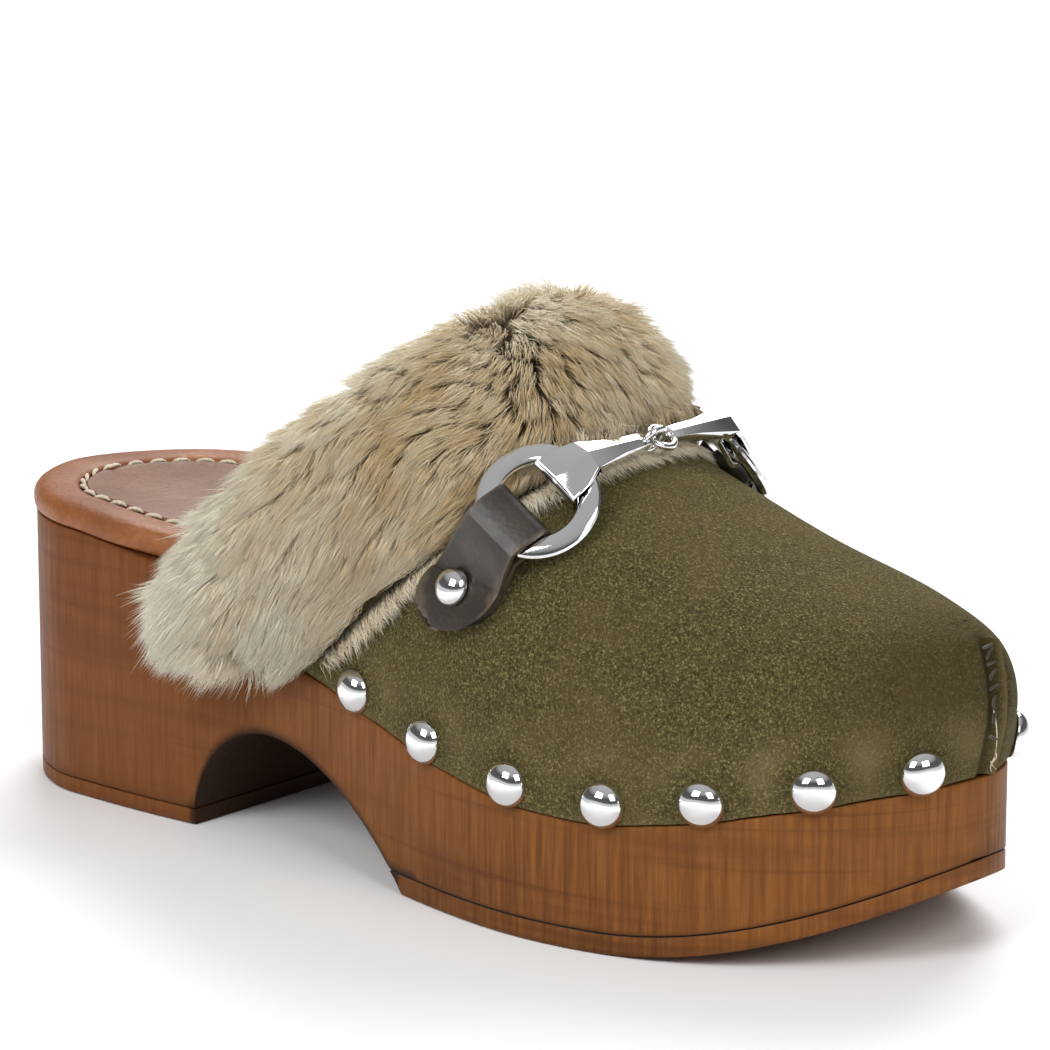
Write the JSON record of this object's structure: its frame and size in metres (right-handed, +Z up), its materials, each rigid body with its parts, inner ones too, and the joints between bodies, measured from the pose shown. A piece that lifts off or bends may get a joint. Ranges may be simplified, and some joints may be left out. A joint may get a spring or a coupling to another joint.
{
  "type": "wooden clog",
  "caption": "Open-backed shoe with a block-heeled wooden sole, a nailed suede upper with a fur collar, a padded leather insole and a linked metal bit across the instep",
  "frame": {"origin": "the centre of the heel's rounded end, on the ground", "axes": "+X along the foot to the toe, +Y to the inner side of the foot, +Z up"},
  "size_m": [0.2459, 0.0988, 0.1131],
  "materials": {
    "wood": "stained and clear-lacquered, dark upright grain, satin",
    "rubber": "moulded, painted brown to match the wood, matte",
    "suede": "olive-brown suede, short nap, matte",
    "lining": "unfinished split leather, matte",
    "stiffener": "resin-stiffened canvas",
    "fur": "imitation fur, 12 to 15 mm pile, beige with darker patches",
    "insole_leather": "tan leather, semi-gloss",
    "foam": "open-cell foam",
    "thread": "twisted polyester thread",
    "tab_leather": "dark brown leather, semi-gloss",
    "chrome": "polished nickel plating"
  },
  "bodies": {
    "clog": {"heel_top_piece": "rubber", "forefoot_tread": "rubber", "wood_sole": "wood", "insole_rim": "insole_leather", "insole_padding": "foam", "insole_cover": "insole_leather", "insole_stitching": "thread", "vamp": "suede", "toe_puff": "stiffener", "vamp_lining": "lining", "fur_collar": "fur", "collar_stitching": "thread", "toe_seam_stitching": "thread", "outer_stud_1": "chrome", "outer_stud_2": "chrome", "outer_stud_3": "chrome", "outer_stud_4": "chrome", "outer_stud_5": "chrome", "outer_stud_6": "chrome", "outer_stud_7": "chrome", "outer_stud_8": "chrome", "inner_stud_1": "chrome", "inner_stud_2": "chrome", "inner_stud_3": "chrome", "inner_stud_4": "chrome", "inner_stud_5": "chrome", "inner_stud_6": "chrome", "inner_stud_7": "chrome", "inner_stud_8": "chrome", "outer_ring_tab": "tab_leather", "outer_tab_rivet": "chrome", "outer_rivet_burr": "chrome", "inner_ring_tab": "tab_leather", "inner_tab_rivet": "chrome", "inner_rivet_burr": "chrome"},
    "outer_ring": {"outer_bit_ring": "chrome"},
    "outer_bar": {"outer_bit_bar": "chrome"},
    "inner_ring": {"inner_bit_ring": "chrome"},
    "inner_bar": {"inner_bit_bar": "chrome"}
  },
  "joints": [
    {"name": "outer_ring_swing", "type": "hinge", "parent": "clog", "child": "outer_ring", "pos_m": [0.12552, -0.03882, 0.077], "axis": [-0.8321, 0, 0.5547], "range_deg": [0, 2.1]},
    {"name": "outer_bar_swing", "type": "hinge", "parent": "outer_ring", "child": "outer_bar", "pos_m": [0.1332, -0.02398, 0.08853], "axis": [0.8321, 0, -0.5547], "range_deg": [0, 8.9]},
    {"name": "inner_ring_swing", "type": "hinge", "parent": "clog", "child": "inner_ring", "pos_m": [0.12535, 0.03594, 0.07676], "axis": [0.8321, 0, -0.5547], "range_deg": [0, 2.1]},
    {"name": "inner_bar_swing", "type": "hinge", "parent": "inner_ring", "child": "inner_bar", "pos_m": [0.13314, 0.02128, 0.08844], "axis": [-0.8321, 0, 0.5547], "range_deg": [0, 8.9]}
  ],
  "couplings": [
    {"joint": "outer_ring_swing", "follows": "outer_bar_swing", "ratio": 0.2359},
    {"joint": "inner_ring_swing", "follows": "outer_bar_swing", "ratio": 0.2359},
    {"joint": "inner_bar_swing", "follows": "outer_bar_swing", "ratio": 1}
  ]
}
